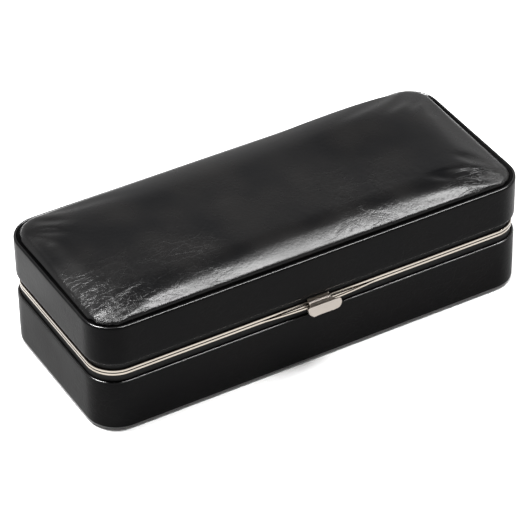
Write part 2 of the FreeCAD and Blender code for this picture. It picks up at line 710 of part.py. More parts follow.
def make_hinges():
    for word, side in (("left", "-1"), ("right", "1")):
        make_leaf(
            f"hinge_base_leaf_{word}", side, (0, 2, 4),
            (COLLAR_BACK, LOWER_LEAF_BACK), (dim("leaf_low"), dim("leaf_shoulder")),
            (f"{dim('leaf_shoulder')} - 1", dim("hinge_level")),
            leaf_rivets(
                f"base_leaf_{word}_hole", LOWER_RIVET_LEVEL, LOWER_RIVET_REACH, LOWER_LEAF_BACK, PLAY))
        make_leaf(
            f"hinge_lid_leaf_{word}", side, (1, 3),
            (LID_COLLAR_BACK, UPPER_LEAF_BACK), (dim("leaf_foot"), dim("leaf_top")),
            (dim("hinge_level"), f"{dim('leaf_foot')} + 0.5"),
            leaf_rivets(
                f"lid_leaf_{word}_hole", UPPER_RIVET_LEVEL, UPPER_RIVET_REACH, UPPER_LEAF_BACK, PLAY))
        pin = hinge_rod(f"hinge_pin_{word}_rod", dim("hinge_pin_radius"), full_span(side))
        keep(pin, f"hinge_pin_{word}")
    base_rivets = leaf_rivets(
        "base_rivet", LOWER_RIVET_LEVEL, LOWER_RIVET_REACH, LOWER_LEAF_BACK, NO_PLAY)
    keep(group("hinge_rivets_base_group", base_rivets), "hinge_rivets_base")
    lid_rivets = leaf_rivets(
        "lid_rivet", UPPER_RIVET_LEVEL, UPPER_RIVET_REACH, UPPER_LEAF_BACK, NO_PLAY)
    keep(group("hinge_rivets_lid_group", lid_rivets), "hinge_rivets_lid")


# ---- clasp -------------------------------------------------------------------------------------


def pivot_rod(name, radius, half):
    place = (f"-({half})", f"-{dim('pivot_front')}", dim("pivot_level"))
    return rod(name, (1, 0, 0), radius, f"2 * ({half})", place)


def make_clasp_bracket():
    """The fixed block under the flared lip, slotted for the spring."""
    rail_face = f"-{FRAME_BACK}"
    front = f"-{dim('bracket_front')}"
    wide = both_ways(dim("bracket_half"))
    lower = box("bracket_lower", wide, (front, f"-{COLLAR_BACK}"), (dim("bracket_low"), dim("collar_top")))
    upper = box(
        "bracket_upper", wide, (front, f"{rail_face} - 0.05"),
        (f"{dim('collar_top')} - 1", dim("flare_low")))
    solid = fuse("bracket_solid", [lower, upper])
    slot = box(
        "bracket_slot", both_ways(dim("spring_slot_half")),
        (f"{front} - 1", f"-{dim('spring_slot_back')}"), ("Dims.bracket_low - 1", "Dims.flare_low + 1"))
    bore = pivot_rod("bracket_bore", dim("pivot_bore"), f"{dim('bracket_half')} + 1")
    holes = bracket_rivets("bracket_hole", PLAY)
    keep(cut("clasp_bracket_cut", solid, [slot, bore] + holes), "clasp_bracket")


def make_clasp_fixings():
    keep(pivot_rod("clasp_pin_rod", dim("pivot_radius"), dim("pivot_pin_half")), "clasp_pin")
    keep(group("clasp_rivets_group", bracket_rivets("bracket_rivet", NO_PLAY)), "clasp_rivets")


def make_clasp_spring():
    """A torsion spring round the pin: three turns and two straight legs, of one wire."""
    radius = number(dim("spring_radius"))
    wire_radius = number(dim("spring_wire"))
    half = number(dim("spring_half"))
    length = 2 * (half - wire_radius)
    turns = 3
    coil = Part.makeHelix(length / turns, length, radius)
    profile = Part.Wire(Part.makeCircle(wire_radius, FreeCAD.Vector(radius, 0, 0), FreeCAD.Vector(0, 1, 0)))
    spring = Part.Wire(coil.Edges).makePipeShell([profile], True, True)
    leg_length = number(dim("spring_leg_top")) - number(dim("pivot_level"))
    for level, way in ((0.0, 1), (length, 1)):
        foot = FreeCAD.Vector(radius, 0, level)
        knee = Part.makeSphere(wire_radius * 1.02, foot)
        leg = Part.makeCylinder(wire_radius, leg_length, foot, FreeCAD.Vector(0, way, 0))
        spring = spring.fuse([knee, leg])
    thing = doc.addObject("Part::Feature", "clasp_spring_wire")
    thing.Shape = spring.removeSplitter()
    # The coil's axis turns to X, its starting side to +Y and its legs to +Z.
    turn = FreeCAD.Rotation(
        FreeCAD.Vector(0, 1, 0), FreeCAD.Vector(0, 0, 1), FreeCAD.Vector(1, 0, 0), "ZXY")
    place = FreeCAD.Vector(-length / 2, -number(dim("pivot_front")), number(dim("pivot_level")))
    thing.Placement = FreeCAD.Placement(place, turn)
    keep(thing, "clasp_spring")


def make_tab():
    """The leaning finger plate of the lever: round lower corners and bevelled upper ones."""
    plate = doc.addObject("Part::Box", "tab_plate")
    turn = FreeCAD.Rotation(FreeCAD.Vector(1, 0, 0), -number(dim("tab_tilt")))
    plate.Placement = FreeCAD.Placement(FreeCAD.Vector(0, 0, 0), turn)
    plate.setExpression("Length", "2 * Dims.tab_half")
    plate.setExpression("Width", dim("tab_thickness"))
    plate.setExpression("Height", dim("tab_height"))
    plate.setExpression("Placement.Base.x", "-Dims.tab_half")
    front = "-(Dims.tab_back + Dims.tab_thickness * cos(Dims.tab_tilt * 1 deg))"
    plate.setExpression("Placement.Base.y", front)
    plate.setExpression("Placement.Base.z", "Dims.tab_low + Dims.tab_thickness * sin(Dims.tab_tilt * 1 deg)")
    thickness = number(dim("tab_thickness"))
    middle = number("Dims.tab_low + Dims.tab_height / 2")

    def corner_on(way):
        return lambda edge: abs(edge.Length - thickness) < 0.01 \
            and way * (edge.BoundBox.ZMin - middle) > 0

    lower = round_edges("tab_lower_corners", plate, dim("tab_curve"), corner_on(-1))
    return round_edges("tab_upper_corners", lower, dim("tab_bevel"), corner_on(1))


def make_clasp_lever():
    """The rocking lever: nose plate, two ribs, two cheeks on the pin, and the tab."""
    front = f"-{dim('lever_front')}"
    things = [box(
        "lever_plate", both_ways(dim("cheek_outer")), (front, f"-{dim('lever_nose')}"),
        (dim("lever_low"), dim("lever_top")))]
    for word in ("inner", "outer"):
        back = dim(f"{word}_rib_back")
        things.append(box(
            f"lever_rib_{word}", both_ways(dim(f"{word}_rib_half")),
            (f"-({back} + {dim('rib_width')})", f"-{back}"), (dim("lever_low"), dim(f"{word}_rib_top"))))
    for word, span in (
            ("left", (f"-{dim('cheek_outer')}", f"-{dim('cheek_inner')}")),
            ("right", (dim("cheek_inner"), dim("cheek_outer")))):
        things.append(box(
            f"lever_cheek_{word}", span, (front, f"-{dim('cheek_back')}"),
            (dim("cheek_low"), f"{dim('lever_low')} + 0.5")))
    things.append(make_tab())
    solid = fuse("lever_solid", things)
    bore = pivot_rod("lever_bore", dim("pivot_bore"), f"{dim('cheek_outer')} + 0.5")
    keep(cut("clasp_lever_cut", solid, [bore]), "clasp_lever")


def add_keeper_section(body):
    """The keeper's section: an upright front, a slope, and a lip behind it over the strip."""
    sketch = new_sketch(body, "YZ_Plane", f"-{dim('keeper_half')}")
    front = f"-{dim('keeper_front')}"
    crest = f"-{dim('keeper_crest')}"
    face = f"-{FRAME_BACK}"
    lip = f"-{dim('keeper_lip')}"
    rear = f"-{LID_COLLAR_BACK}"
    points = [
        (front, dim("keeper_low")), (front, dim("keeper_step")), (crest, dim("strip_top")),
        (lip, dim("strip_top") + " + 0.05"), (lip, dim("keeper_top")), (rear, dim("keeper_top")),
        (rear, dim("strip_top")), (face, dim("strip_top")), (face, dim("keeper_low"))]
    corners = [FreeCAD.Vector(number(across), number(level), 0) for across, level in points]
    for index, corner in enumerate(corners):
        sketch.addGeometry(Part.LineSegment(corner, corners[(index + 1) % len(corners)]), False)
    for index, (across, level) in enumerate(points):
        sketch.addConstraint(Sketcher.Constraint(
            "Coincident", index, 2, (index + 1) % len(points), 1))
        for kind, expression, amount in (
                ("DistanceX", across, corners[index].x), ("DistanceY", level, corners[index].y)):
            place = sketch.addConstraint(Sketcher.Constraint(kind, -1, 1, index, 1, amount))
            bind(sketch, place, f"corner_{index}_{kind}", expression)
    return pad_sketch(body, sketch, f"2 * {dim('keeper_half')}")


def make_keeper():
    """The catch plate on the upper frame."""
    body = new_body("clasp_keeper")
    add_keeper_section(body)
    keep(cut("clasp_keeper_cut", body, keeper_rivets("keeper_hole", PLAY)), "clasp_keeper")
    keep(group("keeper_rivets_group", keeper_rivets("keeper_rivet", NO_PLAY)), "keeper_rivets")


# ---- assembly and export -----------------------------------------------------------------------


def check_document():
    """Stop if a feature failed or a sub-part is empty or not valid."""
    doc.recompute()
    for thing in doc.Objects:
        if "Invalid" in thing.State or "Error" in thing.State:
            raise RuntimeError(f"{thing.Label}: {thing.State}")
    for thing in nodes:
        shape = thing.Shape
        if shape.isNull() or not shape.isValid() or not shape.Solids:
            raise RuntimeError(f"{thing.Label}: the shape is not a valid solid")


def write_parts():
    os.makedirs("parts", exist_ok=True)
    for thing in nodes:
        thing.Shape.exportStep(os.path.join("parts", f"{thing.Label}.step"))
        bounds = thing.Shape.BoundBox
        print(
            f"{thing.Label:24s} solids {len(thing.Shape.Solids):2d} volume {thing.Shape.Volume:10.1f}"
            f"  x {bounds.XMin:8.2f} {bounds.XMax:8.2f}  y {bounds.YMin:7.2f} {bounds.YMax:7.2f}"
            f"  z {bounds.ZMin:6.2f} {bounds.ZMax:6.2f}")


make_base_felt()
make_base_board()
make_base_walls()
make_base_leather()
make_base_collar()
make_lower_frame()
make_lower_frame_nails()
make_base_lining()
make_floor_pad()
make_dividers()
make_watch_pillows()
make_lid_walls()
make_lid_board()
make_lid_leather()
make_lid_foam()
make_lid_cushion()
make_lid_collar()
make_upper_frame()
make_upper_frame_nails()
make_lid_lining()
make_lid_inner_pad()
make_hinges()
make_clasp_bracket()
make_clasp_fixings()
make_clasp_spring()
make_clasp_lever()
make_keeper()
check_document()
write_parts()
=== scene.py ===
import json
import math

import bmesh
import bpy
import numpy as np
from mathutils import Matrix, Vector, noise


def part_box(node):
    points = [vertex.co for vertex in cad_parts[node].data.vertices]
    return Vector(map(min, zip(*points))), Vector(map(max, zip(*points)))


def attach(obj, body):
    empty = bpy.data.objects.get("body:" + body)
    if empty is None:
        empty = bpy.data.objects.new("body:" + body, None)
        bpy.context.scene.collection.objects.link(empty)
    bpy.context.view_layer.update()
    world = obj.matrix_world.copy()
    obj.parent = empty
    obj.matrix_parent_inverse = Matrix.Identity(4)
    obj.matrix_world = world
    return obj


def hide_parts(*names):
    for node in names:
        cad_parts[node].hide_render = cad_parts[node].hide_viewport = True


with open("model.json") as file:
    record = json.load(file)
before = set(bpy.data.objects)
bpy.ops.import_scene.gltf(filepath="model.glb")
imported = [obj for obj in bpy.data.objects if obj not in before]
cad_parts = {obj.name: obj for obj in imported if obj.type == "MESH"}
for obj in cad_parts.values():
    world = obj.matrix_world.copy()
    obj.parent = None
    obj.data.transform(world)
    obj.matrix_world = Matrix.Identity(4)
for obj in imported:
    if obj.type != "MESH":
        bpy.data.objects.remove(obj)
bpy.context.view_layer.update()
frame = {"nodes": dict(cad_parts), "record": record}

MM = 0.001
CORNER_RADIUS = 21 * MM
MIDDLE_STRIP = 4 * MM
CASE_HALF_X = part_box("base_leather")[1].x
CASE_HALF_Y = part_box("base_leather")[1].y

# ---- camera --------------------------------------------------------------------------------------

VIEW_AZIMUTH = math.radians(-29.378)
VIEW_ELEVATION = math.radians(37.191)
VIEW_ROLL = math.radians(-1.083)
VIEW_DISTANCE = 1.9139
VIEW_LENS = 200.5
VIEW_SIDE_STEP = -2.68 * MM
VIEW_RISE = 24.73 * MM


def make_camera():
    """A long lens from the front left, above the case."""
    level = math.cos(VIEW_ELEVATION)
    back = Vector((
        math.sin(VIEW_AZIMUTH) * level, -math.cos(VIEW_AZIMUTH) * level, math.sin(VIEW_ELEVATION)))
    right = Vector((math.cos(VIEW_AZIMUTH), math.sin(VIEW_AZIMUTH), 0))
    up = back.cross(right)
    turned_right = math.cos(VIEW_ROLL) * right + math.sin(VIEW_ROLL) * up
    turned_up = -math.sin(VIEW_ROLL) * right + math.cos(VIEW_ROLL) * up
    data = bpy.data.cameras.new("camera")
    data.lens = VIEW_LENS
    data.sensor_width = 36
    data.clip_start = 0.05
    data.clip_end = 50
    camera = bpy.data.objects.new("camera", data)
    turn = Matrix((turned_right, turned_up, back)).transposed().to_4x4()
    place = VIEW_SIDE_STEP * turned_right + VIEW_RISE * turned_up + VIEW_DISTANCE * back
    camera.matrix_world = Matrix.Translation(place) @ turn
    bpy.context.scene.collection.objects.link(camera)
    bpy.context.scene.camera = camera


# ---- studio --------------------------------------------------------------------------------------

SURROUND_FADE = {"From Min": 0.38, "From Max": 0.72, "To Min": 0.7, "To Max": 0.03}
LIGHT_AIM = Vector((0, 0, 50 * MM))
FLOOR_REACH = 4.0


def make_light(name, direction, distance, size, size_y, power):
    """A soft rectangular light that faces the case, its first side along the case."""
    data = bpy.data.lights.new(name, "AREA")
    data.shape = "RECTANGLE"
    data.size = size
    data.size_y = size_y
    data.energy = power
    light = bpy.data.objects.new(name, data)
    aim = Vector(direction).normalized()
    long_side = (Vector((1, 0, 0)) - aim.x * aim).normalized()
    turn = Matrix((long_side, aim.cross(long_side), aim)).transposed().to_4x4()
    light.matrix_world = Matrix.Translation(aim * distance + LIGHT_AIM) @ turn
    bpy.context.scene.collection.objects.link(light)


def make_world():
    """A white surround that is brightest towards the horizon and dim overhead."""
    world = bpy.data.worlds.new("studio")
    world.use_nodes = True
    tree = world.node_tree
    place = tree.nodes.new("ShaderNodeTexCoord")
    split = tree.nodes.new("ShaderNodeSeparateXYZ")
    fade = tree.nodes.new("ShaderNodeMapRange")
    fade.interpolation_type = "SMOOTHSTEP"
    for key, amount in SURROUND_FADE.items():
        fade.inputs[key].default_value = amount
    tree.links.new(place.outputs["Generated"], split.inputs[0])
    tree.links.new(split.outputs["Z"], fade.inputs["Value"])
    tree.links.new(fade.outputs[0], tree.nodes["Background"].inputs["Strength"])
    tree.nodes["Background"].inputs["Color"].default_value = (1, 1, 1, 1)
    bpy.context.scene.world = world


def make_studio():
    """The surround, two lights and a pale floor under the case."""
    scene = bpy.context.scene
    scene.view_settings.view_transform = "Standard"
    scene.view_settings.look = "None"
    make_world()
    make_light("key_light", (0.38, -0.11, 0.92), distance=1.3, size=1.0, size_y=0.28, power=23)
    make_light("left_light", (-0.33, 0.26, 0.9), distance=1.2, size=0.36, size_y=0.36, power=26)
    mesh = bpy.data.meshes.new("floor")
    corners = [(x * FLOOR_REACH, y * FLOOR_REACH, 0) for x, y in ((-1, -1), (1, -1), (1, 1), (-1, 1))]
    mesh.from_pydata(corners, [], [(0, 1, 2, 3)])
    floor = bpy.data.objects.new("floor", mesh)
    scene.collection.objects.link(floor)
    floor.data.materials.append(floor_material())


# ---- material helpers ----------------------------------------------------------------------------


class Shader:
    """One node material round a Principled shader, with short ways to add nodes."""

    def __init__(self, name, **settings):
        self.material = bpy.data.materials.new(name)
        self.material.use_nodes = True
        self.tree = self.material.node_tree
        self.surface = self.tree.nodes["Principled BSDF"]
        for key, amount in settings.items():
            self.surface.inputs[key.replace("_", " ")].default_value = amount
        self.place = self.add("ShaderNodeTexCoord").outputs["Object"]

    def add(self, kind, inputs=None, **settings):
        """A new node; each input takes a link or a plain value."""
        node = self.tree.nodes.new(kind)
        for key, amount in settings.items():
            setattr(node, key, amount)
        for key, source in (inputs or {}).items():
            if isinstance(source, bpy.types.NodeSocket):
                self.tree.links.new(source, node.inputs[key])
            else:
                node.inputs[key].default_value = source
        return node

    def stretched(self, scale):
        """Object coordinates, stretched along the axes."""
        return self.add("ShaderNodeMapping", {"Vector": self.place, "Scale": scale}).outputs[0]

    def noise(self, scale, detail, vector=None, distortion=0.0):
        return self.add("ShaderNodeTexNoise", {
            "Vector": vector or self.place, "Scale": scale, "Detail": detail,
            "Distortion": distortion}).outputs["Fac"]

    def cells(self, scale, feature="F1"):
        inputs = {"Vector": self.place, "Scale": scale}
        return self.add("ShaderNodeTexVoronoi", inputs, feature=feature).outputs["Distance"]

    def math(self, operation, first, second=0.0, clamp=False):
        inputs = {0: first, 1: second}
        return self.add("ShaderNodeMath", inputs, operation=operation, use_clamp=clamp).outputs[0]

    def span(self, source, low, high, to_low=0.0, to_high=1.0):
        """A value from one range laid over another, and held at its ends."""
        return self.add("ShaderNodeMapRange", {
            "Value": source, "From Min": low, "From Max": high,
            "To Min": to_low, "To Max": to_high}).outputs[0]

    def mix(self, factor, first, second):
        """A colour between two; the node keeps its colour sockets at 6, 7 and output 2."""
        return self.add("ShaderNodeMix", {0: factor, 6: first, 7: second}, data_type="RGBA").outputs[2]

    def ridges(self, scale, width, detail, vector, distortion):
        """Thin winding lines, 1 on the line and 0 away from it."""
        wave = self.noise(scale, detail, vector, distortion)
        away = self.math("ABSOLUTE", self.math("SUBTRACT", wave, 0.5))
        return self.span(away, 0.0, width, 1.0, 0.0)

    def bump(self, height, distance, below=None):
        inputs = {"Height": height, "Distance": distance}
        if below is not None:
            inputs["Normal"] = below
        return self.add("ShaderNodeBump", inputs).outputs[0]

    def wire(self, **sources):
        """Link sources to the surface; returns the finished material."""
        for key, source in sources.items():
            self.tree.links.new(source, self.surface.inputs[key.replace("_", " ")])
        return self.material


def floor_material():
    """Pale and matt, slightly clouded."""
    made = Shader("pale_floor", Specular_IOR_Level=0.2)
    cloud = made.noise(3.0, 2.0)
    return made.wire(
        Base_Color=made.mix(cloud, (0.93, 0.93, 0.93, 1), (0.95, 0.95, 0.95, 1)),
        Roughness=made.span(cloud, 0.3, 0.7, 0.5, 0.6))


def corner_wrinkles(made, corner_x, corner_y, reach):
    """Fine wrinkles that run out from one corner of the drawn leather."""
    split = made.add("ShaderNodeSeparateXYZ", {0: made.place})
    across = made.math("SUBTRACT", split.outputs["X"], corner_x)
    along = made.math("SUBTRACT", split.outputs["Y"], corner_y)
    angle = made.math("ARCTAN2", along, across)
    distance = made.math("POWER", made.math(
        "ADD", made.math("MULTIPLY", across, across), made.math("MULTIPLY", along, along)), 0.5)
    sway = made.math("MULTIPLY", made.noise(75, 3.0), 1.3)
    fan = made.add("ShaderNodeCombineXYZ", {
        "X": made.math("MULTIPLY", made.math("ADD", angle, sway), 11.0),
        "Y": made.math("MULTIPLY", distance, 70.0)}).outputs[0]
    lines = made.ridges(1.0, 0.09, 3.0, fan, 0.5)
    fade = made.span(distance, reach * 0.15, reach, 1.0, 0.0)
    return made.math("MULTIPLY", made.math("MULTIPLY", lines, fade, True), 0.25)


def leather_material(name, roughness, crease, grain, specular, tone_low, tone_high, wrinkled=()):
    """Black finished leather: a fine pebble grain, and creases that come in patches."""
    made = Shader(name, Specular_IOR_Level=specular)
    pebbles = made.cells(620, "SMOOTH_F1")
    fine = made.noise(1500, 2.0)
    drift = made.noise(24, 2.0)
    split = made.add("ShaderNodeSeparateXYZ", {0: made.place})
    nearness = made.span(split.outputs["Y"], -0.055, 0.015, 1.0, 0.12)
    patches = made.math("MULTIPLY", made.span(made.noise(13, 3.0), 0.40, 0.62), nearness)
    long_lines = made.ridges(70, 0.02, 3.0, made.stretched((0.6, 1.4, 1.0)), 0.6)
    short_lines = made.ridges(260, 0.05, 2.0, None, 0.8)
    all_lines = made.math("ADD", long_lines, made.math("MULTIPLY", short_lines, 0.6))
    crackle = made.math("MULTIPLY", patches, all_lines)
    for corner_x, corner_y, reach in wrinkled:
        crackle = made.math("ADD", crackle, corner_wrinkles(made, corner_x, corner_y, reach))
    colour = made.mix(made.span(drift, 0.35, 0.7), tone_low, tone_high)
    worn = made.mix(made.math("MULTIPLY", crackle, 0.12, True), colour, CREASE_GREY)
    plain = made.span(drift, 0.3, 0.7, roughness - 0.04, roughness + 0.05)
    rough = made.math("ADD", plain, made.math("MULTIPLY", crackle, 0.03))
    normal = made.bump(pebbles, grain)
    normal = made.bump(fine, grain * 0.25, normal)
    normal = made.bump(made.math("SUBTRACT", 1.0, crackle), crease, normal)
    return made.wire(Base_Color=worn, Roughness=rough, Normal=normal)


def metal_material(name, tint, dark, rough, fineness):
    """Satin metal with a brushed grain, which is drawn out along an axis of low fineness."""
    made = Shader(name, Metallic=1.0)
    lines = made.noise(1.0, 4.0, made.stretched(fineness))
    cloud = made.noise(45, 3.0)
    colour = made.mix(made.span(cloud, 0.3, 0.75), tint, dark)
    brushed = made.span(lines, 0.3, 0.7, rough - 0.04, rough + 0.05)
    shine = made.math("ADD", brushed, made.span(cloud, 0.3, 0.7, 0.0, 0.015))
    return made.wire(Base_Color=colour, Roughness=shine, Normal=made.bump(lines, 0.03 * MM))


def matte_black_material(name, rough):
    """Painted board, nearly without a highlight."""
    made = Shader(name, Specular_IOR_Level=0.15)
    speck = made.noise(900, 3.0)
    colour = made.mix(speck, (0.004, 0.004, 0.004, 1), (0.008, 0.008, 0.008, 1))
    return made.wire(
        Base_Color=colour, Roughness=made.span(speck, 0.3, 0.7, rough - 0.05, rough + 0.05),
        Normal=made.bump(speck, 0.05 * MM))


def velvet_material(name, dark, light):
    """Short pile: it clouds where it has been brushed, and shines at a grazing angle."""
    made = Shader(
        name, Sheen_Weight=0.55, Sheen_Roughness=0.4, Sheen_Tint=(0.8, 0.78, 0.76, 1),
        Specular_IOR_Level=0.1)
    pile = made.noise(2600, 2.0)
    brushed = made.noise(26, 4.0, None, 0.6)
    tone = made.math("ADD", made.math("MULTIPLY", brushed, 0.7), made.math("MULTIPLY", pile, 0.3))
    colour = made.mix(made.span(tone, 0.35, 0.65), dark, light)
    return made.wire(
        Base_Color=colour, Roughness=made.span(brushed, 0.3, 0.7, 0.85, 0.98),
        Normal=made.bump(pile, 0.12 * MM))


def board_material(name):
    """Raw fibreboard with short fibres."""
    made = Shader(name)
    fibres = made.noise(1.0, 5.0, made.stretched((900, 260, 900)))
    cloud = made.noise(40, 3.0)
    tone = made.math("MULTIPLY", fibres, cloud)
    colour = made.mix(tone, (0.16, 0.10, 0.055, 1), (0.42, 0.29, 0.17, 1))
    return made.wire(
        Base_Color=colour, Roughness=made.span(fibres, 0.3, 0.7, 0.75, 0.9),
        Normal=made.bump(fibres, 0.1 * MM))


def foam_material(name):
    """Pale open foam with fine pores."""
    made = Shader(name)
    pores = made.cells(1400)
    colour = made.mix(pores, (0.35, 0.32, 0.24, 1), (0.72, 0.68, 0.55, 1))
    return made.wire(
        Base_Color=colour, Roughness=made.span(pores, 0.0, 1.0, 0.8, 0.95),
        Normal=made.bump(pores, 0.3 * MM))


def paint_nodes(materials):
    """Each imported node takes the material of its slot."""
    for part in frame["record"]["subparts"]:
        mesh = frame["nodes"][part["node"]].data
        mesh.materials.clear()
        mesh.materials.append(materials[part["material_slot"]])


FRAME_NICKEL = (0.34, 0.305, 0.265, 1)
FRAME_SHADE = (0.31, 0.278, 0.24, 1)
CLASP_NICKEL = (0.48, 0.435, 0.395, 1)
CLASP_SHADE = (0.44, 0.395, 0.355, 1)
# Painted shade: the two wall blacks are darker copies of TOP_BLACK and TOP_WORN, though walls and cushion are
# the same leather.
WALL_BLACK_PAINTED_SHADE = (0.0013, 0.0013, 0.0015, 1)
WALL_WORN_PAINTED_SHADE = (0.0023, 0.0021, 0.0021, 1)
TOP_BLACK = (0.0018, 0.0018, 0.0021, 1)
TOP_WORN = (0.0036, 0.0032, 0.0031, 1)
CREASE_GREY = (0.010, 0.0096, 0.0092, 1)
SPRING_GREY = (0.5, 0.5, 0.5, 1)
SPRING_SHADE = (0.35, 0.35, 0.35, 1)
WRINKLE_INSET = 9 * MM
# Wrinkles at a front corner: x and y of the point they run out from, and their reach.
LEFT_WRINKLES = (-CASE_HALF_X + WRINKLE_INSET, -CASE_HALF_Y + WRINKLE_INSET, 70 * MM)
RIGHT_WRINKLES = (CASE_HALF_X - WRINKLE_INSET, -CASE_HALF_Y + WRINKLE_INSET, 45 * MM)

make_camera()
make_studio()
# The wall copy of the cushion leather carries painted shade: a darker colour and about a tenth of the
# specular.
wall_leather_painted_shade = leather_material(
    "wall_leather_painted_shade", roughness=0.36, crease=0.05 * MM, grain=0.04 * MM, specular=0.036,
    tone_low=WALL_BLACK_PAINTED_SHADE, tone_high=WALL_WORN_PAINTED_SHADE)
# The glossy rim copy also takes the walls' painted-shade blacks.
rim_leather = leather_material(
    "rim_leather", roughness=0.17, crease=0.02 * MM, grain=0.01 * MM, specular=0.7,
    tone_low=WALL_BLACK_PAINTED_SHADE, tone_high=WALL_WORN_PAINTED_SHADE)
top_leather = leather_material(
    "cushion_leather", roughness=0.26, crease=0.10 * MM, grain=0.04 * MM, specular=0.37,
    tone_low=TOP_BLACK, tone_high=TOP_WORN, wrinkled=(LEFT_WRINKLES, RIGHT_WRINKLES))
materials = {
    "black_leather": wall_leather_painted_shade,
    "board": board_material("fibreboard"),
    "collar": matte_black_material("collar_black", 0.7),
    "frame_metal": metal_material("frame_nickel", FRAME_NICKEL, FRAME_SHADE, 0.22, (40, 40, 3000)),
    "clasp_metal": metal_material("clasp_nickel", CLASP_NICKEL, CLASP_SHADE, 0.34, (60, 2400, 2400)),
    "fastener_steel": metal_material("fastener_nickel", CLASP_NICKEL, CLASP_SHADE, 0.3, (900, 900, 900)),
    "spring_steel": metal_material("spring_steel", SPRING_GREY, SPRING_SHADE, 0.3, (3000, 500, 500)),
    "lining": velvet_material("lining_velvet", (0.012, 0.011, 0.011, 1), (0.03, 0.028, 0.028, 1)),
    "felt": velvet_material("base_felt", (0.008, 0.008, 0.008, 1), (0.02, 0.02, 0.02, 1)),
    "foam": foam_material("foam"),
    "pillow_velvet": velvet_material("pillow_velvet", (0.02, 0.019, 0.018, 1), (0.06, 0.056, 0.053, 1)),
}
paint_nodes(materials)


# ---- mesh helpers --------------------------------------------------------------------------------

ROUND_TURNS = [math.radians(turn) for turn in (30, 60, 90, 120, 150)]
CLOTH_FRAMES = 20
CLOTH_PRESSURE = 4.0
CLOTH_TENSION = 15.0
CLOTH_BENDING = 2.0


def finish_mesh(name, bm):
    """A smooth-shaded object in the scene, from a finished mesh."""
    mesh = bpy.data.meshes.new(name)
    bm.to_mesh(mesh)
    bm.free()
    for face in mesh.polygons:
        face.use_smooth = True
    made = bpy.data.objects.new(name, mesh)
    bpy.context.scene.collection.objects.link(made)
    return made


def edge(level, *steps):
    """(inset, level) pairs from steps in millimetres: the inset, and the rise over the level."""
    return [(inset * MM, level + rise * MM) for inset, rise in steps]


def outline_points(half_x, half_y, radius, arc_steps=12, side_steps=(60, 24)):
    """Points round a rounded rectangle, counter-clockwise from its front right corner."""
    points = []
    corners = ((1, -1, -90), (1, 1, 0), (-1, 1, 90), (-1, -1, 180))
    for index, (sx, sy, start) in enumerate(corners):
        cx, cy = sx * (half_x - radius), sy * (half_y - radius)
        for step in range(arc_steps + 1):
            angle = math.radians(start + 90 * step / arc_steps)
            points.append((cx + radius * math.cos(angle), cy + radius * math.sin(angle)))
        after = corners[(index + 1) % 4]
        ex = after[0] * (half_x - radius) + radius * math.cos(math.radians(after[2]))
        ey = after[1] * (half_y - radius) + radius * math.sin(math.radians(after[2]))
        steps = side_steps[1] if index % 2 == 0 else side_steps[0]
        bx, by = points[-1]
        for step in range(1, steps):
            share = step / steps
            points.append((bx + (ex - bx) * share, by + (ey - by) * share))
    return points


def join_loops(bm, first, second):
    """Quads between two closed loops of equal length."""
    count = len(first)
    return [
        bm.faces.new((first[index], first[(index + 1) % count], second[(index + 1) % count], second[index]))
        for index in range(count)]


def outline_loop(bm, inset, level, **steps):
    """One loop of vertices at an inset from the case outline and a level."""
    half_x = CASE_HALF_X - inset
    half_y = CASE_HALF_Y - inset
    around = outline_points(half_x, half_y, max(CORNER_RADIUS - inset, 2 * MM), **steps)
    return [bm.verts.new((x, y, level)) for x, y in around]


def sweep(bm, profile, closed, **steps):
    """A skin through (inset, level) pairs; returns the loops and the faces of each band."""
    loops = [outline_loop(bm, inset, level, **steps) for inset, level in profile]
    after = loops[1:] + loops[:1] if closed else loops[1:]
    bands = [join_loops(bm, lower, upper) for lower, upper in zip(loops, after)]
    return loops, bands


def loft(bm, loops):
    """A closed form through equal loops of points, capped at both ends."""
    rows = [[bm.verts.new(point) for point in loop] for loop in loops]
    for lower, upper in zip(rows, rows[1:]):
        join_loops(bm, lower, upper)
    bm.faces.new(list(reversed(rows[0])))
    bm.faces.new(rows[-1])


def apply_modifiers(piece):
    """Turn what the modifiers show into the piece's own mesh."""
    bpy.context.view_layer.update()
    graph = bpy.context.evaluated_depsgraph_get()
    mesh = bpy.data.meshes.new_from_object(piece.evaluated_get(graph))
    piece.modifiers.clear()
    piece.data = mesh


def read_array(mesh, field):
    """A vector field of the mesh vertices, one row for each."""
    flat = np.zeros(len(mesh.vertices) * 3)
    mesh.vertices.foreach_get(field, flat)
    return flat.reshape(-1, 3)


def store(mesh, points):
    """Move the mesh vertices to these points."""
    mesh.vertices.foreach_set("co", points.astype(np.float32).ravel())
    mesh.update()


def displace(piece, height):
    """Move each point along its normal by height(point, normal)."""
    points = read_array(piece.data, "co")
    normals = read_array(piece.data, "normal")
    heights = np.array([height(point, normal) for point, normal in zip(points, normals)])
    store(piece.data, points + normals * heights[:, None])


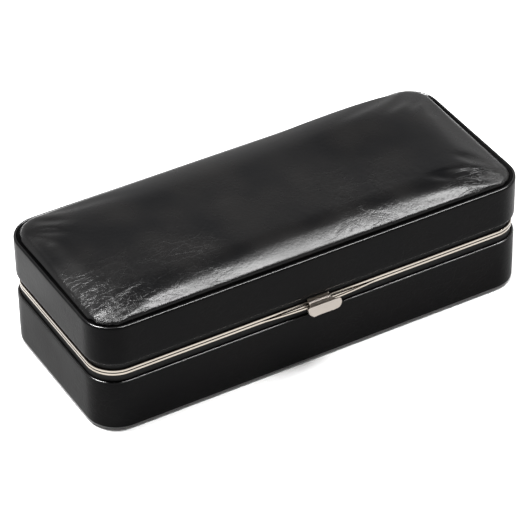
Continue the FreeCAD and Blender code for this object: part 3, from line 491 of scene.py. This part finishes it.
def inflate(piece, voxel, cap, pinned):
    """Remesh, then let cloth pressure fill the piece; no point moves further than the cap."""
    remesh = piece.modifiers.new("remesh", "REMESH")
    remesh.mode = "VOXEL"
    remesh.voxel_size = voxel
    apply_modifiers(piece)
    before = read_array(piece.data, "co")
    group = piece.vertex_groups.new(name="pinned")
    held = [index for index, point in enumerate(before) if pinned(point)]
    group.add(held, 1.0, "REPLACE")
    cloth = piece.modifiers.new("cloth", "CLOTH")
    cloth.settings.quality = 6
    cloth.settings.mass = 0.3
    cloth.settings.tension_stiffness = CLOTH_TENSION
    cloth.settings.compression_stiffness = CLOTH_TENSION
    cloth.settings.bending_stiffness = CLOTH_BENDING
    cloth.settings.use_pressure = True
    cloth.settings.uniform_pressure_force = CLOTH_PRESSURE
    cloth.settings.effector_weights.gravity = 0
    cloth.settings.vertex_group_mass = "pinned"
    cloth.collision_settings.use_collision = False
    scene = bpy.context.scene
    scene.frame_start = 1
    scene.frame_end = CLOTH_FRAMES
    for step in range(1, CLOTH_FRAMES + 1):
        scene.frame_set(step)
    apply_modifiers(piece)
    scene.frame_set(1)
    move = read_array(piece.data, "co") - before
    length = np.linalg.norm(move, axis=1)
    scale = np.minimum(1.0, cap / np.maximum(length, 1e-9))
    store(piece.data, before + move * scale[:, None])
    piece.vertex_groups.clear()


def smooth(piece, rounds):
    modifier = piece.modifiers.new("smooth", "SMOOTH")
    modifier.iterations = rounds
    apply_modifiers(piece)


def subdivide(piece, levels):
    modifier = piece.modifiers.new("subdivision", "SUBSURF")
    modifier.levels = levels
    modifier.render_levels = levels
    apply_modifiers(piece)
    for face in piece.data.polygons:
        face.use_smooth = True


def settle(piece, body, slot, nodes, *finishes):
    """Materials, body and the CAD nodes that a piece stands for; the slot argument is not used."""
    for material in finishes:
        piece.data.materials.append(material)
    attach(piece, body)
    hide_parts(*nodes)


def fold(value, width):
    """1 where a noise value crosses zero, falling to 0 at the width."""
    return max(0.0, 1 - abs(value) / width)


# ---- leather walls -------------------------------------------------------------------------------

BASE_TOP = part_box("base_leather")[1].z
BASE_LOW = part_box("base_leather")[0].z
LID_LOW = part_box("lid_leather")[0].z
LID_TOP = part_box("lid_leather")[1].z
CUSHION_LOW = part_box("lid_cushion")[0].z
WALL_STEPS = 9
PULL_DEPTH = 0.07 * MM


def plain_wall(low, high):
    """(inset, level) pairs up the flat part of a wall."""
    return [(0.0, low + (high - low) * step / WALL_STEPS) for step in range(WALL_STEPS + 1)]


def hand_pulled(point, normal):
    """Slight hollows where the skin is drawn over the wall; never outwards."""
    flat = 1 - abs(normal[2])
    soft = noise.noise(Vector(point) * 34) + 0.5 * noise.noise(Vector(point) * 90)
    return -flat * PULL_DEPTH * (1 + 0.6 * soft)


def make_wall(name, body, node, profile, low, high):
    """One leather skin; beyond the low and the high level its turned edges are glossier."""
    bm = bmesh.new()
    _, bands = sweep(bm, profile, closed=True)
    for band in bands:
        for face in band:
            middle = face.calc_center_median().z
            face.material_index = 0 if low < middle < high else 1
    bmesh.ops.recalc_face_normals(bm, faces=bm.faces[:])
    piece = finish_mesh(name, bm)
    subdivide(piece, 1)
    displace(piece, hand_pulled)
    settle(piece, body, "black_leather", [node], wall_leather_painted_shade, rim_leather)


def make_walls():
    """The two wall skins, each with a small roll at its lower and its upper edge."""
    base = edge(BASE_LOW, (1.5, 0), (1.0, 0), (0.45, 0.15), (0.1, 0.6))
    base += plain_wall(BASE_LOW + 1.4 * MM, BASE_TOP - 1.3 * MM)
    base += edge(
        BASE_TOP, (0.12, -0.75), (0.6, -0.28), (1.3, 0), (1.9, -0.1), (2.35, -0.5), (2.35, -1.0), (1.5, -1.0))
    make_wall("base_skin", "base", "base_leather", base, BASE_LOW + 1.0 * MM, BASE_TOP - 0.9 * MM)
    lid = edge(LID_LOW, (3.35, 1.15), (3.35, 0.2), (2.6, 0), (1.8, 0.1), (0.8, 0.6), (0.2, 1.4))
    lid += plain_wall(LID_LOW + 2.4 * MM, LID_TOP - 1.6 * MM)
    lid += edge(LID_TOP, (0.1, -0.8), (0.45, -0.25), (1.1, 0), (1.7, -0.15), (2.15, -0.7))
    lid += edge(CUSHION_LOW, (2.3, 0.8), (9.0, 0.7), (9.0, 0), (1.5, 0))
    lid += edge(LID_LOW, (1.5, 1.3))
    make_wall("lid_skin", "lid", "lid_leather", lid, LID_LOW + 1.2 * MM, LID_TOP - 0.5 * MM)


# ---- cushion -------------------------------------------------------------------------------------

CUSHION_INSET = CASE_HALF_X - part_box("lid_cushion")[1].x
CUSHION_SKIRT = 0.5 * MM
CROWN_RISE = 9.8 * MM
CROWN_REACH = 27 * MM
FRONT_ROLL_REACH = 1.2 * MM
FRONT_ROLL_RISE = 2.9 * MM
BACK_ROLL_REACH = 3.4 * MM
BACK_ROLL_RISE = 7.2 * MM
END_DROOP = 0.2
BULGE_X = 96 * MM
BULGE_Y = 50 * MM
BULGE_REACH = 40 * MM
BULGE_RISE = 2.2 * MM
SEAM_INSETS = [inset * MM for inset in (0.06, 0.25, 0.6, 1.1, 1.8, 2.6, 3.6, 5.0)]
CROWN_STEPS = 12
PLEAT_INSET_X = 10 * MM
PLEAT_INSET_Y = 9 * MM
# Pleats at a front corner: its side, their reach, how many round a full turn, and their depth in mm.
LEFT_PLEATS = (-1, 62 * MM, 19, 0.16)
RIGHT_PLEATS = (1, 44 * MM, 17, 0.1)


def corner_pleats(point, side, reach, count):
    """Creases that run out from one front corner of the cushion, fading with distance."""
    corner_x = side * (CASE_HALF_X - PLEAT_INSET_X)
    corner_y = -CASE_HALF_Y + PLEAT_INSET_Y
    away = Vector((point[0] - corner_x, point[1] - corner_y))
    distance = away.length
    angle = math.atan2(away.y, away.x)
    drift = noise.noise(Vector(point) * 45)
    wave = math.sin(angle * count + 2.4 * drift)
    return max(0.0, 1 - distance / reach) ** 1.2 * max(0.0, wave) ** 2


def cushion_creases(point, normal):
    """Long soft folds in the drawn leather, gathered at the corners and along the front."""
    if normal[2] < 0.2:
        return 0.0
    spot = Vector(point)
    warp = spot + Vector((noise.noise(spot * 30), noise.noise(spot * 30 + Vector((7, 0, 0))), 0)) * 0.012
    front = max(0.0, -point[1] / CASE_HALF_Y) ** 1.5
    patch = max(0.0, noise.noise(spot * 17 + Vector((3, 1, 0))) + 0.12)
    short_folds = fold(noise.noise(Vector((warp.x * 150, warp.y * 80, 4.0))), 0.12)
    swell = noise.noise(spot * 26) * 0.14 * MM
    creases = 0.2 * short_folds * front * (0.2 + patch)
    for side, reach, count, depth in (LEFT_PLEATS, RIGHT_PLEATS):
        creases += depth * corner_pleats(point, side, reach, count)
    return swell * (0.3 + front) - creases * MM


def cushion_height(inwards, x, y):
    """Height of the crown over its skirt: a roll at the edge, fuller at the back, then an easy slope."""
    back = 0.5 + 0.5 * y / CASE_HALF_Y
    roll = FRONT_ROLL_REACH + (BACK_ROLL_REACH - FRONT_ROLL_REACH) * back
    roll_rise = FRONT_ROLL_RISE + (BACK_ROLL_RISE - FRONT_ROLL_RISE) * back
    on_roll = 1 - min(1.0, inwards / roll)
    on_slope = 1 - min(1.0, inwards / CROWN_REACH)
    height = roll_rise * math.sqrt(1 - on_roll ** 2) + (CROWN_RISE - roll_rise) * (1 - on_slope ** 2)
    height *= 1 - END_DROOP * (x / CASE_HALF_X) ** 2
    away = math.hypot(x - BULGE_X, y - BULGE_Y) / BULGE_REACH
    return height + BULGE_RISE * math.exp(-away ** 2) * min(1.0, inwards / roll)


def make_lid_cushion():
    """The crowned leather panel, pulled down at its edge and easing towards the middle."""
    reach = CASE_HALF_Y - MIDDLE_STRIP - CUSHION_INSET
    last = SEAM_INSETS[-1]
    steps = SEAM_INSETS + [last + (reach - last) * step / CROWN_STEPS for step in range(1, CROWN_STEPS + 1)]
    profile = [(CUSHION_INSET + 0.3 * MM, CUSHION_LOW), (CUSHION_INSET, CUSHION_LOW + CUSHION_SKIRT)]
    profile += [(CUSHION_INSET + inwards, CUSHION_LOW + CUSHION_SKIRT) for inwards in steps]
    bm = bmesh.new()
    loops, _ = sweep(bm, profile, closed=False, arc_steps=10, side_steps=(30, 12))
    for inwards, loop in zip(steps, loops[2:]):
        for vert in loop:
            vert.co.z += cushion_height(inwards, vert.co.x, vert.co.y)
    bm.faces.new(loops[-1])
    bm.faces.new(list(reversed(loops[0])))
    bmesh.ops.triangulate(bm, faces=bm.faces[:])
    piece = finish_mesh("lid_cushion_cover", bm)
    inflate(piece, voxel=2.4 * MM, cap=0.5 * MM, pinned=lambda point: point[2] < CUSHION_LOW + 1.6 * MM)
    smooth(piece, 1)
    subdivide(piece, 1)
    displace(piece, cushion_creases)
    settle(piece, "lid", "black_leather", ["lid_cushion", "lid_foam"], top_leather)


# ---- inside --------------------------------------------------------------------------------------

PILLOW_SWELL = 1.2 * MM
PILLOW_SEAM = 7 * MM
PILLOW_SEAM_WIDTH = 1.1 * MM
PILLOW_SHARES = (-1.0, -0.97, -0.88, -0.72, -0.4, 0.0, 0.4, 0.72, 0.88, 0.97, 1.0)
PILLOW_POINTS = 40
PILLOW_SQUARENESS = 2.6
PANEL_STEPS = 8
DIVIDER_STEPS = 40
DIVIDER_RISES = (0.3, 0.6, 0.85, 0.95)
LINING_STEPS = 7
LINING_OUTER = 9.6 * MM
LINING_INNER = 10.95 * MM


def oval_loop(x, middle_y, middle_z, half_y, half_z):
    """A rounded oval across the case, at one place along it."""
    points = []
    for step in range(PILLOW_POINTS):
        angle = 2 * math.pi * step / PILLOW_POINTS
        c = math.cos(angle)
        s = math.sin(angle)
        points.append((
            x,
            middle_y + half_y * math.copysign(abs(c) ** (2 / PILLOW_SQUARENESS), c),
            middle_z + half_z * math.copysign(abs(s) ** (2 / PILLOW_SQUARENESS), s)))
    return points


def make_pillow(index):
    """A watch pillow: an oval roll, with a seam round each end panel and a few soft dimples."""
    node = f"watch_pillow_{index}"
    low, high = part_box(node)
    centre = (low + high) / 2
    half = (high - low) / 2 - Vector((1, 1, 1)) * PILLOW_SWELL
    loops = []
    for share in PILLOW_SHARES:
        shrink = 1 - 0.16 * abs(share) ** 14 - 0.03 * share ** 2
        x = centre.x + half.x * share
        loops.append(oval_loop(x, centre.y, centre.z, half.y * shrink, half.z * shrink))
    bm = bmesh.new()
    loft(bm, loops)
    bmesh.ops.triangulate(bm, faces=bm.faces[:])
    bmesh.ops.recalc_face_normals(bm, faces=bm.faces[:])
    piece = finish_mesh(f"pillow_cover_{index}", bm)
    inflate(piece, voxel=4 * MM, cap=PILLOW_SWELL, pinned=lambda point: False)
    smooth(piece, 2)
    subdivide(piece, 1)

    def softened(point, normal):
        along = abs(point[0] - centre.x) - (half.x + PILLOW_SWELL - PILLOW_SEAM)
        seam = math.exp(-(along / PILLOW_SEAM_WIDTH) ** 2) * (1 - abs(normal[0])) * 0.9
        spot = Vector(point) + Vector((0.31 * index, 0, 0))
        dimples = max(0.0, noise.noise(spot * 42)) * 0.7 + fold(noise.noise(spot * 60), 0.15) * 0.25
        return -(seam + dimples) * MM

    displace(piece, softened)
    settle(piece, f"pillow_{index}", "pillow_velvet", [node], materials["pillow_velvet"])


def panel_loops(bm, inset, reach, levels):
    """A plate of concentric loops: levels gives the (step inwards, level) pairs of its edge."""
    profile = [(inset + step, level) for step, level in levels]
    last_step, last_level = levels[-1]
    for step in range(1, PANEL_STEPS + 1):
        profile.append((inset + last_step + (reach - last_step) * step / PANEL_STEPS, last_level))
    loops, _ = sweep(bm, profile, closed=False, arc_steps=8, side_steps=(48, 18))
    bm.faces.new(loops[-1])
    bm.faces.new(list(reversed(loops[0])))


def make_panel(name, body, node, levels, slot, hollow, cap=0.0):
    """A soft flat panel with turned edges and slight hollows; with a cap it is also inflated."""
    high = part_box(node)[1]
    inset = CASE_HALF_X - high.x
    bm = bmesh.new()
    panel_loops(bm, inset, CASE_HALF_Y - inset - MIDDLE_STRIP, levels)
    bmesh.ops.triangulate(bm, faces=bm.faces[:])
    bmesh.ops.recalc_face_normals(bm, faces=bm.faces[:])
    piece = finish_mesh(name, bm)
    if cap:
        back = high.z
        inflate(piece, voxel=3.5 * MM, cap=cap, pinned=lambda point: point[2] > back - 1.2 * MM)
        smooth(piece, 2)
    subdivide(piece, 1)

    def uneven(point, normal):
        spot = Vector(point)
        return -abs(noise.noise(spot * 38)) * hollow - fold(noise.noise(spot * 55), 0.1) * hollow * 0.4

    displace(piece, uneven)
    settle(piece, body, slot, [node], materials[slot])


def make_panels():
    """The lid's padded panel, the padded floor and the felt underneath."""
    low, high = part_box("lid_inner_pad")
    levels = edge(high.z, (0.4, 0), (0.0, -1.0)) + edge(low.z, (0.3, 1.8), (1.2, 1.0), (3.0, 0.7))
    make_panel("lid_pad_cover", "lid", "lid_inner_pad", levels, "lining", hollow=0.3 * MM, cap=0.6 * MM)
    low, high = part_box("floor_pad")
    levels = edge(low.z, (0.3, 0), (0.05, 0.6)) + edge(high.z, (0.3, -0.3), (1.1, 0))
    make_panel("floor_pad_cover", "base", "floor_pad", levels, "lining", hollow=0.15 * MM)
    low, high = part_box("base_felt")
    levels = edge(high.z, (0.3, 0), (0.05, -0.4)) + edge(low.z, (0.2, 0.15), (0.7, 0))
    make_panel("felt_cover", "base", "base_felt", levels, "felt", hollow=0.06 * MM)


def make_divider(index):
    """A velvet wrapped board, rounded along its top and a little narrower at its two ends."""
    node = f"divider_{index}"
    low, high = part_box(node)
    middle = (low.x + high.x) / 2
    half = (high.x - low.x) / 2
    height = high.z - low.z
    loops = []
    for step in range(DIVIDER_STEPS + 1):
        share = step / DIVIDER_STEPS
        y = low.y + (high.y - low.y) * share
        end = 1 - 0.25 * (abs(share - 0.5) * 2) ** 30
        thick = half * end * (0.93 + 0.05 * noise.noise(Vector((middle * 20, y * 40, 0))))
        top = high.z - 0.5 * MM * abs(noise.noise(Vector((middle * 30, y * 22, 5))))
        loop = [(middle - thick, y, low.z), (middle + thick, y, low.z)]
        for rise in DIVIDER_RISES:
            loop.append((middle + thick, y, low.z + height * rise))
        for angle in ROUND_TURNS:
            loop.append((middle + thick * math.cos(angle), y, top - thick * (1 - math.sin(angle))))
        for rise in reversed(DIVIDER_RISES):
            loop.append((middle - thick, y, low.z + height * rise))
        loops.append(loop)
    bm = bmesh.new()
    loft(bm, loops)
    bmesh.ops.recalc_face_normals(bm, faces=bm.faces[:])
    piece = finish_mesh(f"divider_cover_{index}", bm)
    settle(piece, "base", "lining", [node], materials["lining"])


def ruffled(point, normal):
    """The lining's slight unevenness, always towards the board behind it."""
    return -abs(noise.noise(Vector(point) * 48)) * 0.12 * MM


def make_lining(body):
    """The lining round the inside of one half of the case, with its free edge folded over."""
    node = f"{body}_lining"
    low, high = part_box(node)
    free, fixed = (high.z, low.z) if body == "base" else (low.z, high.z)
    way = 1 if free > fixed else -1
    fold_over = (LINING_INNER - LINING_OUTER) / 2
    profile = [(LINING_OUTER, fixed), (LINING_OUTER, free - way * fold_over)]
    for angle in ROUND_TURNS:
        inset = LINING_OUTER + fold_over * (1 - math.cos(angle))
        profile.append((inset, free - way * fold_over * (1 - math.sin(angle))))
    profile += [
        (LINING_INNER, free - way * fold_over + (fixed - free + way * fold_over) * step / LINING_STEPS)
        for step in range(LINING_STEPS + 1)]
    bm = bmesh.new()
    sweep(bm, profile, closed=True)
    bmesh.ops.recalc_face_normals(bm, faces=bm.faces[:])
    piece = finish_mesh(f"{body}_lining_cover", bm)
    displace(piece, ruffled)
    settle(piece, body, "lining", [node], materials["lining"])


make_walls()
make_lid_cushion()
for number in range(1, 6):
    make_pillow(number)
make_panels()
for number in range(1, 5):
    make_divider(number)
for half in ("base", "lid"):
    make_lining(half)
